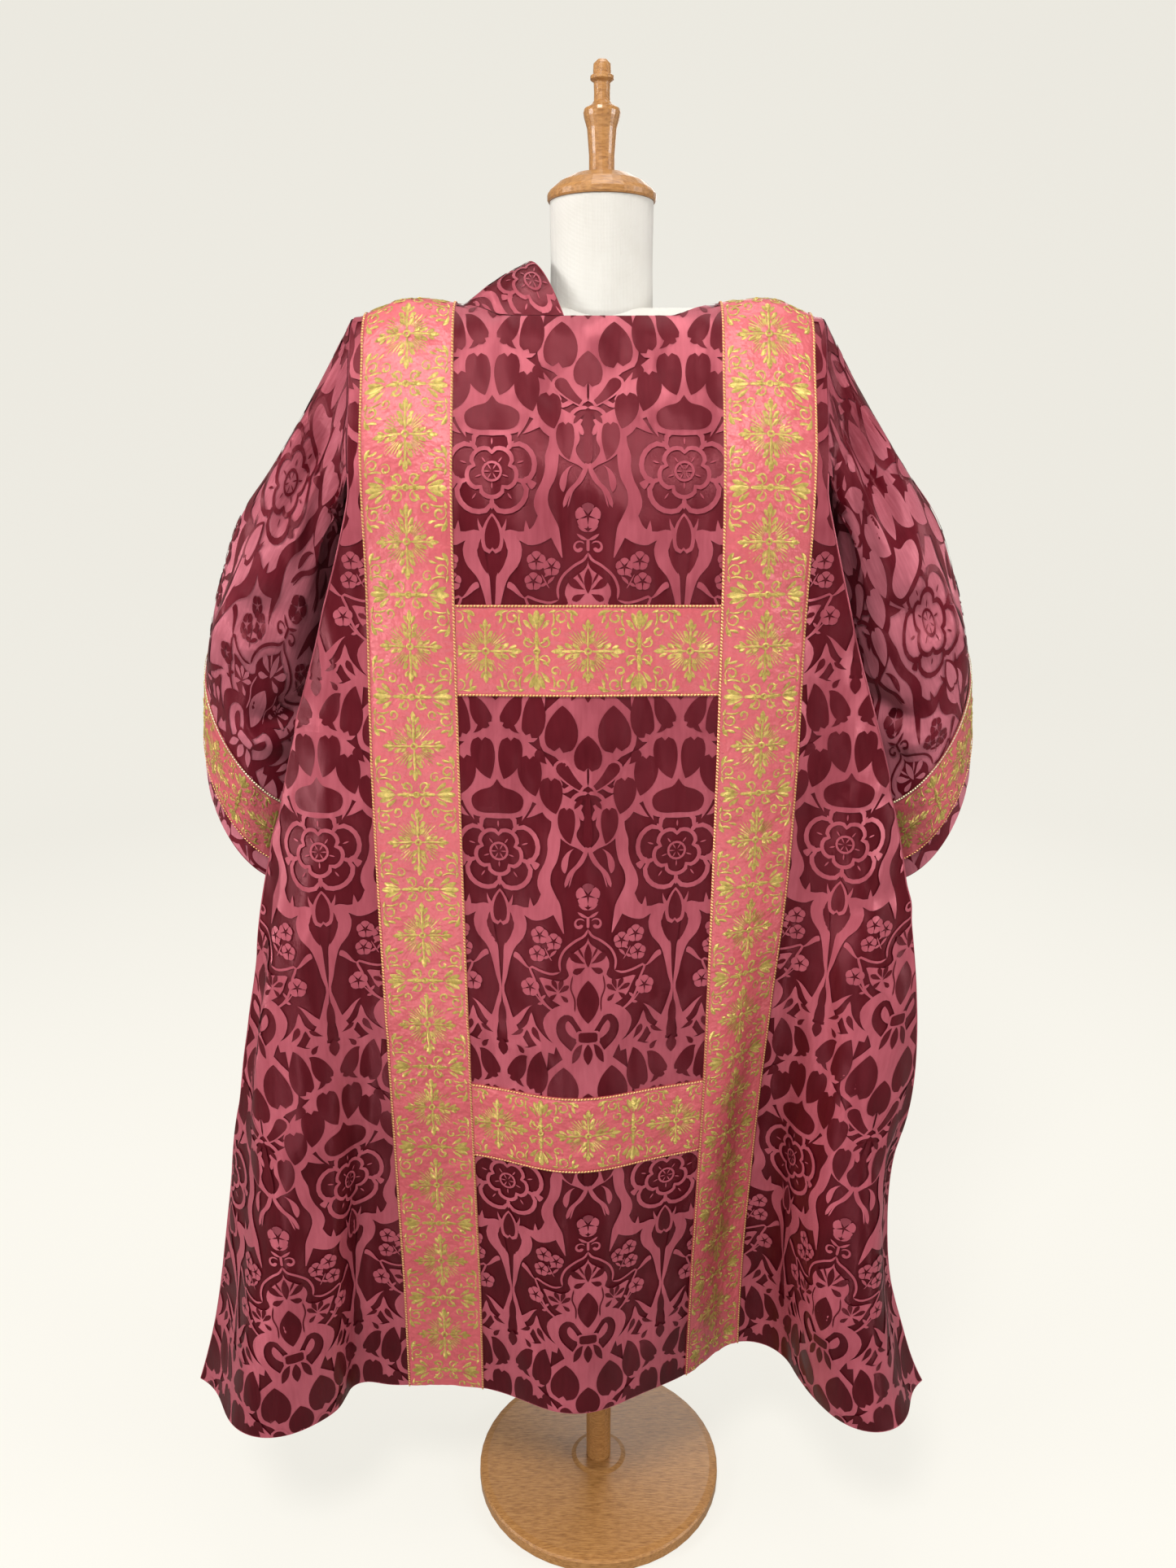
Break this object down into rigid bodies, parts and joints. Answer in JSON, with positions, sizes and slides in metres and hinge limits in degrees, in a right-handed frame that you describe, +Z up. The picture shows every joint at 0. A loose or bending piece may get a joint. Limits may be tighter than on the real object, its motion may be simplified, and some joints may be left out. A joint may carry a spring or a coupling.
{
  "type": "dalmatic on a dress form",
  "caption": "Rose damask dalmatic with gold-embroidered coral bands, shown from its back on a limbless dress form with a turned oak finial and a round base.",
  "frame": {"origin": "on the floor under the middle of the whole object's box", "axes": "+Z up; the garment's front faces +Y and its back, which the picture shows, faces -Y; +X is to the right of a viewer who looks at the back"},
  "size_m": [0.9178, 0.3624, 1.686],
  "materials": {
    "damask": "satin damask in rose on burgundy",
    "brocade": "coral satin with gold embroidery",
    "jersey": "off-white matt knit cover",
    "oak": "satin varnish"
  },
  "bodies": {
    "root": {"back_panel": "damask", "front_panel": "damask", "neck_flap": "damask", "sleeve_left": "damask", "sleeve_right": "damask", "long_band_left": "brocade", "long_band_right": "brocade", "sleeve_band_left": "brocade", "sleeve_band_right": "brocade", "upper_crossbar_back": "brocade", "lower_crossbar_back": "brocade", "upper_crossbar_front": "brocade", "lower_crossbar_front": "brocade", "form_torso": "jersey", "neck_cap": "oak", "finial": "oak", "pole": "oak", "base": "oak"}
  },
  "joints": []
}
